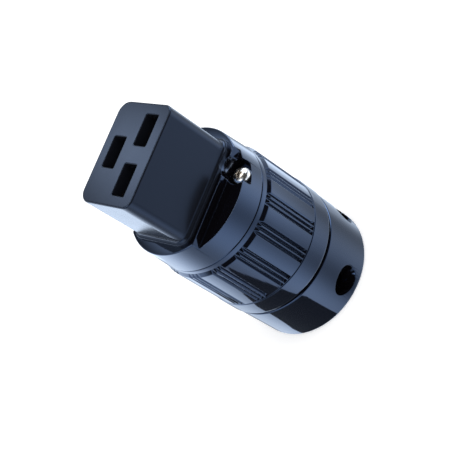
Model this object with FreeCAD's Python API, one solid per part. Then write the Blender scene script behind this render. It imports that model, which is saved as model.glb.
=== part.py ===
# C19 power connector, rewireable, cord side.
# Frame: millimetres, Z along the connector's axis from the cord end (Z = 0) to the nose,
# X along the nose's long side, Y towards the row with the line and neutral slots.
import FreeCAD
import Part
import math
import os

# Poles, as the standard spaces them: all other sizes are to this scale
pole_spacing = 13.0
earth_drop = 8.0

# Stack along the axis, from the cord end to the nose
sleeve_length = 15.6
joint_groove_width = 0.85
barrel_length = 27.1
flange_length = 9.25
nose_length = 20.5

# Nose: the long block that goes into the inlet, with these walls round its slots
nose_side_wall = 2.9
nose_live_wall = 3.6
nose_earth_wall = 3.1
nose_corner_live = 2.1
nose_corner_earth = 3.2
nose_edge_chamfer = 0.35
collar_step = 0.9
collar_height = 0.95
collar_slope = 0.75

# Blade slots and the contact chambers behind them
slot_width = 8.2
slot_height = 4.4
slot_lead_in = 0.3
slot_wall = 5.9
chamber_width = 8.9
chamber_height = 5.4

# Flange: the round ring that the nose block stands in, a step smaller than the band
flange_step = 0.9
flange_taper = 0.4
flange_front_chamfer = 0.2
flange_rear_chamfer = 0.3
flat_ledge = 1.9
flat_depth = 2.35

# Body screws and their pockets in the flange's rim
screw_angle = 120.0
screw_inset = 2.8
pocket_radius = 3.5
pocket_inset = 1.97
pocket_floor_depth = 2.85
body_head_radius = 2.4
body_head_height = 2.1
body_head_slope_height = 0.6
body_head_slope_width = 0.5
body_shank_radius = 1.45
body_screw_grip = 14.0
body_screw_tip = 0.4
cross_arm_length = 3.3
cross_arm_width = 0.95
cross_depth = 1.3

# Spigot of the flange, and the contact retainer clamped behind it
spigot_wall = 0.38
spigot_length = 0.65
retainer_thickness = 2.0

# Barrel: wall at the band, threaded inserts, grip pattern and band
barrel_wall = 2.5
ring_setback = 0.05
ring_length = 1.6
boss_radius = 2.8
boss_length = 8.85
insert_radius = 1.8
insert_length = 6.0
insert_depth = 0.85
insert_seat_radius = 1.6
insert_waist_radius = 1.62
insert_waist_length = 1.2
panel_count = 15
panel_step = 0.18
panel_taper = 0.1
groove_step_width = 0.62
groove_spacing_angle = 3.75
groove_width = 0.86
groove_floor_width = 0.24
groove_run_out = 0.9
band_length = 6.55
band_step_length = 0.3
barrel_edge_chamfer = 0.2

# Rear sleeve: neck, snap joint, end wall with the cord entry, bores to the clamp screws
sleeve_step = 0.2
sleeve_taper = 0.17
sleeve_end_chamfer = 0.45
sleeve_wall = 1.5
neck_depth = 0.9
joint_spigot_length = 4.5
bead_height = 0.35
bead_width = 0.8
bead_distance = 2.1
end_wall = 2.4
cord_entry_radius = 5.5
cord_entry_chamfer = 0.5
access_bore_radius = 3.4
access_bore_height = 5.2
clamp_screw_inset = 4.3

# Contacts: folded from sheet, two springy leaves with two fingers each
sheet_thickness = 0.8
contact_width = 8.2
contact_pinch = 1.7
contact_mouth = 3.4
contact_straight_length = 13.0
contact_lip_length = 3.8
finger_slit_width = 0.7
finger_slit_length = 13.5
tail_width = 4.6

# Terminals: pillar blocks with one screw each
terminal_width = 7.6
terminal_length = 9.5
terminal_wall = 1.5
wire_way_width = 5.0
wire_way_height = 3.0
terminal_screw_radius = 1.5
terminal_head_radius = 2.1
terminal_head_height = 1.2
terminal_slot_width = 0.6
terminal_screw_from_end = 3.6
terminal_edge = 0.4
barrier_thickness = 1.0
barrier_reach = 9.6
barrier_overhang = 0.6

# Retainer screws, which hold the retainer to the nose block
retainer_screw_side_inset = 4.7
retainer_screw_edge_inset = 3.35
retainer_shank_radius = 1.0
retainer_screw_length = 7.0
retainer_head_radius = 1.9
retainer_head_height = 1.3
retainer_head_slope = 0.5
retainer_cross_length = 2.3
retainer_cross_width = 0.65
retainer_cross_depth = 0.8

# Cord clamp
jaw_height = 6.8
jaw_gap = 1.2
moving_jaw_thickness = 5.6
fixed_jaw_thickness = 8.6
cord_way_radius = 4.75
cord_rib_height = 0.45
cord_rib_width = 0.8
cord_rib_count = 2
cord_lead_in = 1.0
clamp_shank_radius = 1.5
clamp_head_radius = 2.6
clamp_head_height = 2.0
clamp_nut_flats = 5.5
clamp_nut_thickness = 2.4
clamp_nut_floor = 1.8
clamp_tip_overrun = 1.6

# Clearances
joint_clearance = 0.1
hole_clearance = 0.2
thread_clearance = 0.05
pocket_clearance = 0.1
chamber_clearance = 0.2
jaw_clearance = 0.15

# Heights along the axis, added up from the stack
groove_top = sleeve_length + joint_groove_width
barrel_front = groove_top + barrel_length
flange_front = barrel_front + flange_length
nose_front = flange_front + nose_length
retainer_front = barrel_front - spigot_length
retainer_rear = retainer_front - retainer_thickness
flat_floor = flange_front - flat_depth
pocket_floor = flat_floor - pocket_floor_depth
shoulder_height = nose_front - slot_wall
boss_rear = retainer_rear - boss_length
insert_rear = retainer_rear - insert_depth - insert_length
terminal_rear = retainer_rear - terminal_length
jaw_top = end_wall + jaw_height

# Nose block: as wide and as deep as its slots and the walls round them
nose_width = pole_spacing + slot_width + 2 * nose_side_wall
nose_depth = earth_drop + slot_height + nose_live_wall + nose_earth_wall
live_row_y = nose_depth / 2 - nose_live_wall - slot_height / 2

# Radii from the nose outwards: the flange's spigot goes round the nose block's corners
corner_x = nose_width / 2 - nose_corner_live
corner_y = nose_depth / 2 - nose_corner_live
spigot_radius = math.hypot(corner_x, corner_y) + nose_corner_live + spigot_wall
barrel_bore_radius = spigot_radius + joint_clearance
band_radius = barrel_bore_radius + barrel_wall
panel_rear_radius = band_radius - panel_step
panel_front_radius = panel_rear_radius - panel_taper
flange_rear_radius = band_radius - flange_step
flange_front_radius = flange_rear_radius - flange_taper
ring_radius = flange_rear_radius - ring_setback
sleeve_front_radius = band_radius - sleeve_step
sleeve_rear_radius = sleeve_front_radius - sleeve_taper
neck_radius = sleeve_front_radius - neck_depth
sleeve_bore_radius = spigot_radius - sleeve_wall

# Places that follow the nose and the sleeve's bore
flat_offset = nose_depth / 2 + flat_ledge
retainer_screw_x = nose_width / 2 - retainer_screw_side_inset
retainer_screw_y = retainer_screw_edge_inset - nose_depth / 2
clamp_screw_offset = sleeve_bore_radius - clamp_screw_inset

# Poles: name, place, and the side that the terminal screw is driven from
poles = (
    ("line", pole_spacing / 2, live_row_y, 1),
    ("neutral", -pole_spacing / 2, live_row_y, 1),
    ("earth", 0.0, live_row_y - earth_drop, -1),
)
sides = (("right", screw_angle), ("left", screw_angle + 180.0))

# Cutting tools run this far past the part, and joined shapes this far into each other
reach = 2 * band_radius
past = 1.0
overlap = 0.5
tiny = 0.0001


def point(x, y, z=0.0):
    return FreeCAD.Vector(x, y, z)


def polar(radius, degrees, z=0.0):
    angle = math.radians(degrees)
    return point(radius * math.cos(angle), radius * math.sin(angle), z)


def cylinder(radius, low, high, place=None):
    base = place or point(0, 0)
    return Part.makeCylinder(radius, high - low, point(base.x, base.y, low))


def block(x_low, x_high, y_low, y_high, z_low, z_high):
    corner = point(x_low, y_low, z_low)
    return Part.makeBox(x_high - x_low, y_high - y_low, z_high - z_low, corner)


def turned(profile):
    """Solid of revolution about Z from (radius, height) corners."""
    corners = [point(radius, 0, height) for radius, height in profile]
    face = Part.Face(Part.makePolygon(corners + corners[:1]))
    return face.revolve(point(0, 0), point(0, 0, 1), 360)


def at_height(shape, height):
    """Edges of a shape that lie flat at one height."""
    return [edge for edge in shape.Edges
            if abs(edge.BoundBox.ZMin - height) < tiny and abs(edge.BoundBox.ZMax - height) < tiny]


def rounded_block(width, depth, low_corner, high_corner, low, high):
    """Upright block with one radius on the corners at low Y and another at high Y."""
    solid = block(-width / 2, width / 2, -depth / 2, depth / 2, low, high)
    for radius, corner_y in ((low_corner, -depth / 2), (high_corner, depth / 2)):
        corners = [edge for edge in solid.Edges if edge.BoundBox.ZLength > tiny
                   and edge.BoundBox.XLength < tiny and abs(edge.BoundBox.YMin - corner_y) < tiny
                   and abs(edge.BoundBox.YMax - corner_y) < tiny]
        solid = solid.makeFillet(radius, corners)
    return solid


def tapered_block(place, low_size, high_size, low, high):
    """Block between a rectangle (width, depth) at one height and another above it."""
    outlines = []
    for (width, depth), height in ((low_size, low), (high_size, high)):
        corners = [point(place.x + right * width / 2, place.y + up * depth / 2, height)
                   for right, up in ((-1, -1), (1, -1), (1, 1), (-1, 1))]
        outlines.append(Part.makePolygon(corners + corners[:1]))
    return Part.makeLoft(outlines, True, True)


def cross_recess(place, top, depth, length, width):
    """Cross-shaped driver recess, cut downwards from a head's top."""
    arms = []
    for along, across in ((length, width), (width, length)):
        arms.append(block(place.x - along / 2, place.x + along / 2,
                          place.y - across / 2, place.y + across / 2, top - depth, top + depth))
    return arms[0].fuse(arms[1])


def sloped_head(radius, seat, side, top, slope_width, place):
    """Screw head about Z: straight from its seat to its side's height, then sloping in to its top."""
    head = turned([(0, seat), (radius, seat), (radius, side), (radius - slope_width, top), (0, top)])
    head.translate(place)
    return head


def sheet_strip(path, thickness, width):
    """Strip of sheet that follows a path of (across, height) points, centred on its width."""
    half = thickness / 2
    normals = []
    for (a_across, a_height), (b_across, b_height) in zip(path, path[1:]):
        run = math.hypot(b_across - a_across, b_height - a_height)
        normals.append(((b_height - a_height) / run, -(b_across - a_across) / run))
    ends = [normals[0]] + normals + [normals[-1]]
    outlines = ([], [])
    for (across, height), first, second in zip(path, ends, ends[1:]):
        scale = 1 + first[0] * second[0] + first[1] * second[1]
        shift = ((first[0] + second[0]) / scale, (first[1] + second[1]) / scale)
        outlines[0].append(point(-width / 2, across + shift[0] * half, height + shift[1] * half))
        outlines[1].append(point(-width / 2, across - shift[0] * half, height - shift[1] * half))
    corners = outlines[0] + outlines[1][::-1]
    face = Part.Face(Part.makePolygon(corners + corners[:1]))
    return face.extrude(point(width, 0, 0))


def screw_axis(degrees):
    return polar(flange_rear_radius - screw_inset, degrees)


def blade_slot(x, y):
    """Slot with a lead-in at the nose's face, opening into the wider contact chamber."""
    slot_size = (slot_width, slot_height)
    mouth_size = (slot_width + 2 * slot_lead_in, slot_height + 2 * slot_lead_in)
    slot = block(x - slot_width / 2, x + slot_width / 2, y - slot_height / 2, y + slot_height / 2,
                 shoulder_height - past, nose_front + past)
    mouth = tapered_block(point(x, y), slot_size, mouth_size, nose_front - slot_lead_in, nose_front)
    chamber = block(x - chamber_width / 2, x + chamber_width / 2,
                    y - chamber_height / 2, y + chamber_height / 2,
                    retainer_front - past, shoulder_height)
    return [slot, mouth, chamber]


def screw_pockets():
    """Cutters for the two pockets that the body screws' heads sit in."""
    return [cylinder(pocket_radius, pocket_floor, nose_front,
                     polar(flange_rear_radius - pocket_inset, degrees)) for name, degrees in sides]


def nose_body():
    """Nose block with its three slots, on a collar that rests on the flange."""
    solid = rounded_block(nose_width, nose_depth, nose_corner_earth, nose_corner_live,
                          retainer_front, nose_front)
    solid = solid.makeChamfer(nose_edge_chamfer, at_height(solid, nose_front))
    collar_top = flange_front + collar_height + collar_slope
    collar = rounded_block(nose_width + 2 * collar_step, nose_depth + 2 * collar_step,
                           nose_corner_earth + collar_step, nose_corner_live + collar_step,
                           flange_front, collar_top)
    solid = solid.fuse(collar.makeChamfer(collar_slope, at_height(collar, collar_top)))
    cuts = screw_pockets()
    for name, x, y, side in poles:
        cuts += blade_slot(x, y)
    for side in (1, -1):
        cuts.append(cylinder(retainer_shank_radius + thread_clearance, retainer_front - past,
                             retainer_rear + retainer_screw_length,
                             point(side * retainer_screw_x, retainer_screw_y)))
    return solid.cut(cuts).removeSplitter()


def front_flange():
    """Round ring, slightly tapered, with the nose's opening, two flats and the body screws' holes."""
    solid = turned([
        (0, retainer_front),
        (spigot_radius, retainer_front),
        (spigot_radius, barrel_front),
        (flange_rear_radius - flange_rear_chamfer, barrel_front),
        (flange_rear_radius, barrel_front + flange_rear_chamfer),
        (flange_front_radius, flange_front - flange_front_chamfer),
        (flange_front_radius - flange_front_chamfer, flange_front),
        (0, flange_front),
    ])
    cuts = screw_pockets()
    cuts.append(rounded_block(nose_width + 2 * joint_clearance, nose_depth + 2 * joint_clearance,
                              nose_corner_earth + joint_clearance, nose_corner_live + joint_clearance,
                              retainer_rear, nose_front))
    for side in (1, -1):
        near, far = sorted((side * flat_offset, side * reach))
        cuts.append(block(-reach, reach, near, far, flat_floor, flange_front + past))
    for name, degrees in sides:
        cuts.append(cylinder(body_shank_radius + hole_clearance, retainer_rear, nose_front,
                             screw_axis(degrees)))
    return solid.cut(cuts).removeSplitter()


def grip_cutters():
    """Three V-grooves between each two panels, each with a slanted end at the band."""
    outer = band_radius + past
    rear = groove_top + band_length + band_step_length
    half_mouth = groove_width / 2 * (outer - ring_radius) / (panel_front_radius - ring_radius)
    cutters = []
    for panel in range(panel_count):
        middle = screw_angle + 360.0 / panel_count * (panel + 0.5)
        for step in (-1, 0, 1):
            angle = middle + step * groove_spacing_angle
            corners = [
                point(outer, -half_mouth, rear),
                point(outer, half_mouth, rear),
                point(ring_radius, groove_floor_width / 2, rear + groove_run_out),
                point(ring_radius, -groove_floor_width / 2, rear + groove_run_out),
            ]
            face = Part.Face(Part.makePolygon(corners + corners[:1]))
            cutter = face.extrude(point(0, 0, barrel_length))
            cutter.rotate(point(0, 0), point(0, 0, 1), angle)
            cutters.append(cutter)
    return cutters


def barrel():
    band_front = groove_top + band_length
    ring_rear = barrel_front - ring_length
    bead_height_in_stack = groove_top + bead_distance
    solid = turned([
        (barrel_bore_radius, groove_top),
        (band_radius - barrel_edge_chamfer, groove_top),
        (band_radius, groove_top + barrel_edge_chamfer),
        (band_radius, band_front),
        (panel_rear_radius, band_front + band_step_length),
        (panel_front_radius, ring_rear - groove_step_width),
        (ring_radius, ring_rear),
        (ring_radius, barrel_front - barrel_edge_chamfer),
        (ring_radius - barrel_edge_chamfer, barrel_front),
        (barrel_bore_radius, barrel_front),
    ])
    solid = solid.cut(grip_cutters())
    snap_groove = turned([
        (barrel_bore_radius - past, bead_height_in_stack - joint_clearance),
        (barrel_bore_radius + bead_height, bead_height_in_stack - joint_clearance),
        (barrel_bore_radius + bead_height, bead_height_in_stack + bead_width + joint_clearance),
        (barrel_bore_radius - past, bead_height_in_stack + bead_width + joint_clearance),
    ])
    solid = solid.cut(snap_groove)
    shell = cylinder(barrel_bore_radius + joint_clearance, boss_rear, retainer_rear)
    for name, degrees in sides:
        place = screw_axis(degrees)
        solid = solid.fuse(cylinder(boss_radius, boss_rear, retainer_rear, place).common(shell))
        solid = solid.cut(cylinder(insert_radius + thread_clearance, insert_rear, retainer_rear, place))
        solid = solid.cut(cylinder(insert_seat_radius, boss_rear, insert_rear, place))
        solid = solid.cut(cylinder(body_shank_radius + hole_clearance, retainer_rear,
                                   barrel_front + past, place))
    return solid.removeSplitter()


def barrel_insert(degrees):
    """Threaded brass insert with a waist between its two knurled ends."""
    place = screw_axis(degrees)
    low = insert_rear
    high = low + insert_length
    sleeve = cylinder(insert_radius, low, high, place)
    waist_low = low + (insert_length - insert_waist_length) / 2
    waist = cylinder(insert_radius + past, waist_low, waist_low + insert_waist_length, place)
    waist = waist.cut(cylinder(insert_waist_radius, low, high, place))
    bore = cylinder(body_shank_radius + thread_clearance, low - past, high + past, place)
    return sleeve.cut(waist).cut(bore)


def body_screw(degrees):
    place = screw_axis(degrees)
    top = pocket_floor + body_head_height
    head = sloped_head(body_head_radius, pocket_floor, top - body_head_slope_height, top,
                       body_head_slope_width, place)
    shank = cylinder(body_shank_radius, pocket_floor - body_screw_grip, pocket_floor + overlap, place)
    shank = shank.makeChamfer(body_screw_tip, at_height(shank, pocket_floor - body_screw_grip))
    recess = cross_recess(place, top, cross_depth, cross_arm_length, cross_arm_width)
    return head.fuse(shank).cut(recess).removeSplitter()


def contact_retainer():
    """Insulating plate that closes the chambers, with a T of barrier walls between the poles."""
    solid = cylinder(spigot_radius, retainer_rear, retainer_front)
    barrier_rear = terminal_rear - barrier_overhang
    row_gap_y = live_row_y - earth_drop / 2
    half = barrier_thickness / 2
    across = block(-barrier_reach, barrier_reach, row_gap_y - half, row_gap_y + half,
                   barrier_rear, retainer_rear)
    upright = block(-half, half, row_gap_y, barrier_reach, barrier_rear, retainer_rear)
    solid = solid.fuse([across, upright])
    cuts = []
    for name, x, y, side in poles:
        half_width = tail_width / 2 + chamber_clearance
        half_sheet = sheet_thickness / 2 + pocket_clearance
        cuts.append(block(x - half_width, x + half_width, y - half_sheet, y + half_sheet,
                          retainer_rear - past, retainer_front + past))
    for side in (1, -1):
        cuts.append(cylinder(retainer_shank_radius + hole_clearance, retainer_rear - past,
                             retainer_front + past, point(side * retainer_screw_x, retainer_screw_y)))
    for name, degrees in sides:
        cuts.append(cylinder(body_shank_radius + hole_clearance, retainer_rear - past,
                             retainer_front + past, screw_axis(degrees)))
    return solid.cut(cuts).removeSplitter()


def retainer_screw(side):
    place = point(side * retainer_screw_x, retainer_screw_y)
    top = retainer_rear - retainer_head_height
    head = sloped_head(retainer_head_radius, retainer_rear, top + retainer_head_slope, top,
                       retainer_head_slope, place)
    shank = cylinder(retainer_shank_radius, retainer_rear - overlap,
                     retainer_rear + retainer_screw_length, place)
    recess = cross_recess(place, top, retainer_cross_depth, retainer_cross_length, retainer_cross_width)
    return head.fuse(shank).cut(recess).removeSplitter()


def contact(x, y):
    """Receptacle: two leaves that pinch the blade, a web across them and a tail to the terminal."""
    leaf_line = chamber_height / 2 - chamber_clearance - sheet_thickness / 2
    web_line = retainer_front + sheet_thickness / 2
    tip = shoulder_height - chamber_clearance - sheet_thickness / 2
    bend = web_line + contact_straight_length
    pinch_line = (contact_pinch + sheet_thickness) / 2
    mouth_line = (contact_mouth + sheet_thickness) / 2
    pieces = []
    for side in (1, -1):
        path = [(side * leaf_line, web_line), (side * leaf_line, bend),
                (side * pinch_line, tip - contact_lip_length), (side * mouth_line, tip)]
        pieces.append(sheet_strip(path, sheet_thickness, contact_width))
    edge = leaf_line + sheet_thickness / 2
    pieces.append(sheet_strip([(-edge, web_line), (edge, web_line)], sheet_thickness, contact_width))
    tail = sheet_strip([(0, terminal_rear), (0, web_line)], sheet_thickness, tail_width)
    solid = tail.fuse(pieces)
    slit = block(-finger_slit_width / 2, finger_slit_width / 2, -chamber_height, chamber_height,
                 tip - finger_slit_length, nose_front)
    solid = solid.cut(slit).removeSplitter()
    solid.translate(point(x, y))
    return solid


def terminal(x, y, side):
    """Pillar block: a wire way that also takes the contact's tail, and a screw hole into it."""
    floor = -sheet_thickness / 2
    low = floor - terminal_wall
    high = floor + wire_way_height + terminal_wall
    body = block(-terminal_width / 2, terminal_width / 2, low, high, terminal_rear, retainer_rear)
    upright = [edge for edge in body.Edges if edge.BoundBox.ZLength > tiny]
    body = body.makeChamfer(terminal_edge, upright)
    way = block(-wire_way_width / 2, wire_way_width / 2, floor, floor + wire_way_height,
                terminal_rear - past, retainer_rear + past)
    hole_start = point(0, floor + wire_way_height - past, terminal_rear + terminal_screw_from_end)
    hole = Part.makeCylinder(terminal_screw_radius + thread_clearance, terminal_wall + 2 * past,
                             hole_start, point(0, 1, 0))
    body = body.cut([way, hole])
    return poled(body, x, y, side)


def poled(shape, x, y, side):
    """Turn a shape modelled with its screw towards +Y to its pole's side, and place it."""
    if side < 0:
        shape.rotate(point(0, 0), point(0, 0, 1), 180)
    shape.translate(point(x, y))
    return shape


def terminal_screw(x, y, side):
    height = terminal_rear + terminal_screw_from_end
    seat = wire_way_height + terminal_wall - sheet_thickness / 2
    tip = sheet_thickness / 2
    up = point(0, 1, 0)
    shank = Part.makeCylinder(terminal_screw_radius, seat + overlap - tip, point(0, tip, height), up)
    head = Part.makeCylinder(terminal_head_radius, terminal_head_height, point(0, seat, height), up)
    slot = block(-terminal_head_radius - past, terminal_head_radius + past,
                 seat + terminal_head_height / 2, seat + terminal_head_height + past,
                 height - terminal_slot_width / 2, height + terminal_slot_width / 2)
    return poled(shank.fuse(head).cut(slot).removeSplitter(), x, y, side)


def rear_sleeve():
    bead_low = groove_top + bead_distance
    solid = turned([
        (0, 0),
        (sleeve_rear_radius - sleeve_end_chamfer, 0),
        (sleeve_rear_radius, sleeve_end_chamfer),
        (sleeve_front_radius, sleeve_length),
        (neck_radius, sleeve_length),
        (neck_radius, groove_top),
        (spigot_radius, groove_top),
        (spigot_radius, bead_low),
        (spigot_radius + bead_height, bead_low),
        (spigot_radius + bead_height / 2, bead_low + bead_width),
        (spigot_radius, bead_low + bead_width),
        (spigot_radius, groove_top + joint_spigot_length),
        (0, groove_top + joint_spigot_length),
    ])
    cuts = [cylinder(sleeve_bore_radius, end_wall, reach)]
    cuts.append(cylinder(cord_entry_radius, -past, end_wall + past))
    cuts.append(Part.makeCone(cord_entry_radius + cord_entry_chamfer, cord_entry_radius,
                              cord_entry_chamfer, point(0, 0, 0)))
    for side in (1, -1):
        cuts.append(clamp_cylinder(access_bore_radius, side, moving_jaw_thickness, reach))
    return solid.cut(cuts).removeSplitter()


def clamp_frame(shape):
    """Turn a shape modelled with the clamp screws along +X to their real direction."""
    shape.rotate(point(0, 0), point(0, 0, 1), screw_angle)
    return shape


def clamp_cylinder(radius, side, low, high):
    """Cylinder along one clamp screw, between two distances from the axis."""
    solid = Part.makeCylinder(radius, high - low, point(low, side * clamp_screw_offset, access_bore_height),
                              point(1, 0, 0))
    return clamp_frame(solid)


def jaw(near, far):
    """Bar across the sleeve between two distances from the axis, ribbed where it grips the cord."""
    low, high = sorted((near, far))
    bar = block(low, high, -reach, reach, end_wall, jaw_top)
    bar = bar.common(cylinder(sleeve_bore_radius - jaw_clearance, end_wall, jaw_top))
    bar = bar.cut(cylinder(cord_way_radius - cord_rib_height, end_wall - past, jaw_top + past))
    plain = (jaw_height - cord_rib_count * cord_rib_width) / (cord_rib_count + 1)
    for gap in range(cord_rib_count + 1):
        start = end_wall + gap * (plain + cord_rib_width)
        bar = bar.cut(cylinder(cord_way_radius, start, start + plain))
    bar = bar.cut(Part.makeCone(cord_entry_radius + hole_clearance, cord_way_radius, cord_lead_in,
                                point(0, 0, end_wall)))
    bar = clamp_frame(bar)
    holes = [clamp_cylinder(clamp_shank_radius + hole_clearance, side, -reach, reach) for side in (1, -1)]
    return bar.cut(holes)


def nut_place():
    """Distance of the nut's inner face from the axis, on the fixed jaw's side."""
    return -jaw_gap / 2 - clamp_nut_floor


def hexagon(flats, side, low, high):
    """Hexagonal prism along one clamp screw, with two corners facing sideways."""
    corner = flats / math.sqrt(3)
    corners = [point(low, side * clamp_screw_offset + corner * math.cos(math.radians(60 * turn)),
                     access_bore_height + corner * math.sin(math.radians(60 * turn)))
               for turn in range(6)]
    face = Part.Face(Part.makePolygon(corners + corners[:1]))
    return clamp_frame(face.extrude(point(high - low, 0, 0)))


def clamp_jaw_moving():
    return jaw(jaw_gap / 2, jaw_gap / 2 + moving_jaw_thickness).removeSplitter()


def clamp_jaw_fixed():
    solid = jaw(-jaw_gap / 2 - fixed_jaw_thickness, -jaw_gap / 2)
    pockets = [hexagon(clamp_nut_flats + pocket_clearance, side, -reach, nut_place()) for side in (1, -1)]
    return solid.cut(pockets).removeSplitter()


def clamp_screw(side):
    seat = jaw_gap / 2 + moving_jaw_thickness
    tip = nut_place() - clamp_nut_thickness - clamp_tip_overrun
    head = clamp_cylinder(clamp_head_radius, side, seat, seat + clamp_head_height)
    shank = clamp_cylinder(clamp_shank_radius, side, tip, seat + overlap)
    top = seat + clamp_head_height
    arms = []
    for tall, wide in ((cross_arm_length, cross_arm_width), (cross_arm_width, cross_arm_length)):
        centre = side * clamp_screw_offset
        arms.append(clamp_frame(block(top - cross_depth, top + past, centre - wide / 2, centre + wide / 2,
                                      access_bore_height - tall / 2, access_bore_height + tall / 2)))
    return head.fuse(shank).cut(arms).removeSplitter()


def clamp_nut(side):
    high = nut_place()
    low = high - clamp_nut_thickness
    solid = hexagon(clamp_nut_flats, side, low, high)
    return solid.cut(clamp_cylinder(clamp_shank_radius + thread_clearance, side, low - past, high + past))


def all_pieces():
    pieces = {
        "nose_body": nose_body(),
        "front_flange": front_flange(),
        "contact_retainer": contact_retainer(),
        "barrel": barrel(),
        "rear_sleeve": rear_sleeve(),
        "clamp_jaw_fixed": clamp_jaw_fixed(),
        "clamp_jaw_moving": clamp_jaw_moving(),
    }
    for name, x, y, side in poles:
        pieces[name + "_contact"] = contact(x, y)
        pieces[name + "_terminal"] = terminal(x, y, side)
        pieces[name + "_terminal_screw"] = terminal_screw(x, y, side)
    for name, degrees in sides:
        pieces["body_screw_" + name] = body_screw(degrees)
        pieces["barrel_insert_" + name] = barrel_insert(degrees)
    for name, side in (("right", 1), ("left", -1)):
        pieces["retainer_screw_" + name] = retainer_screw(side)
        pieces["clamp_screw_" + name] = clamp_screw(side)
        pieces["clamp_nut_" + name] = clamp_nut(side)
    return pieces


os.makedirs("parts", exist_ok=True)
for node, shape in all_pieces().items():
    shape.exportStep("parts/" + node + ".step")
    print(node, len(shape.Solids), round(shape.Volume, 2), shape.isValid())
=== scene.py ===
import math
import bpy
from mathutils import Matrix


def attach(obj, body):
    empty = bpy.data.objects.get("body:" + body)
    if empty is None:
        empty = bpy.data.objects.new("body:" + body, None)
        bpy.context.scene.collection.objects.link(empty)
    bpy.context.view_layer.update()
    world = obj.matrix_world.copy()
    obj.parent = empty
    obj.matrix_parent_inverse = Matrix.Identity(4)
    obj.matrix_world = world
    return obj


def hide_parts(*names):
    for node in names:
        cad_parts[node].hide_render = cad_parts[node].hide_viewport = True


bl_info = {
    "name": "Round C19 connector",
    "version": (1, 0, 0),
    "blender": (4, 5, 0),
    "location": "View3D > Sidebar > Connector",
    "description": "Dresses the packed C19 connector with finely moulded shells, screws and finishes",
    "category": "Object",
}

import bmesh
import bpy
from bpy.props import FloatProperty, FloatVectorProperty, IntProperty, PointerProperty
from mathutils import Euler, Matrix, Vector

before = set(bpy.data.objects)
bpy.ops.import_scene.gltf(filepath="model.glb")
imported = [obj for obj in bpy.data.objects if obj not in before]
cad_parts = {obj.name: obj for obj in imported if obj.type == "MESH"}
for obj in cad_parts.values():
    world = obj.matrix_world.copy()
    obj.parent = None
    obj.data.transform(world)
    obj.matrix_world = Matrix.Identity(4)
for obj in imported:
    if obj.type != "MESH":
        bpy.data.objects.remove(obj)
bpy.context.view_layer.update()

MM = 0.001
# Tools run this far past the faces that they cut
PAST = 1.0 * MM
# Rounding of small edges that no setting gives
EDGE = 0.1 * MM
FINE_EDGE = 0.08 * MM
# Sides of the barrel and the sleeve, and of the holes for screws and inserts
BARREL_STEPS = 360
HOLE_SEGMENTS = 48


# Settings

def length(name, description, millimetres):
    """Property for a size given in millimetres and kept in metres."""
    return FloatProperty(name=name, description=description, default=millimetres * MM,
                         unit="LENGTH", precision=5)


def turn(name, description, degrees):
    """Property for an angle given in degrees."""
    return FloatProperty(name=name, description=description, default=math.radians(degrees),
                         subtype="ANGLE", unit="ROTATION")


def number(name, description, default):
    """Property for a plain number."""
    return FloatProperty(name=name, description=description, default=default)


def linear(hex_colour):
    """Linear RGBA of an sRGB hex colour."""
    channels = [int(hex_colour[start:start + 2], 16) / 255 for start in (1, 3, 5)]
    return tuple(c / 12.92 if c <= 0.04045 else ((c + 0.055) / 1.055) ** 2.4 for c in channels) + (1.0,)


def colour(name, description, hex_colour):
    """Property for a colour given as sRGB hex and kept linear."""
    return FloatVectorProperty(name=name, description=description, default=linear(hex_colour),
                               size=4, subtype="COLOR", min=0.0, max=1.0)


class NoseSizes(bpy.types.PropertyGroup):
    """Block that goes into the inlet, with its collar and its slots."""
    width: length("Width", "Long side of the nose", 27.0)
    depth: length("Depth", "Short side of the nose", 19.1)
    rear: length("Rear", "Height of the block's rear end, inside the flange", 42.9)
    seat: length("Seat", "Height of the flange's face, which the collar rests on", 52.8)
    front: length("Front", "Height of the nose's front face", 73.3)
    corner_earth: length("Earth corner", "Radius of the two corners beside the earth slot", 3.2)
    corner_live: length("Live corner", "Radius of the two corners beside the line and neutral slots", 2.6)
    edge_round: length("Edge round", "Rounding of the front face's rim", 0.45)
    collar_step: length("Collar step", "Width of the collar round the nose", 0.9)
    collar_height: length("Collar height", "Height of the collar's straight side", 0.95)
    collar_round: length("Collar round", "Rounding of the collar's outer edge", 0.22)
    collar_blend: length("Collar blend", "Hollow blend between collar and nose", 0.75)
    slot_width: length("Slot width", "Long side of a blade slot", 8.2)
    slot_height: length("Slot height", "Short side of a blade slot", 4.4)
    slot_corner: length("Slot corner", "Radius of a slot's corners", 0.3)
    slot_flare: length("Slot flare", "Rounding of a slot's rim", 0.3)
    slot_wall: length("Slot wall", "Thickness of the front wall that the slots go through", 5.9)
    chamber_width: length("Chamber width", "Long side of the chamber behind a slot", 8.9)
    chamber_height: length("Chamber height", "Short side of the chamber behind a slot", 5.4)
    pole_spacing: length("Pole spacing", "Distance between the line and neutral slots", 13.0)
    live_row: length("Live row", "Distance of the line and neutral slots from the axis", 3.75)
    earth_row: length("Earth row", "Distance of the earth slot from the axis", -4.25)
    pilot_radius: length("Pilot radius", "Radius of the holes for the retainer's screws", 1.05)
    pilot_x: length("Pilot X", "Place of the retainer's screws along the nose's long side", 8.8)
    pilot_y: length("Pilot Y", "Place of the retainer's screws across the nose", -6.2)
    pilot_depth: length("Pilot depth", "Depth of the holes for the retainer's screws", 5.0)


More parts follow.
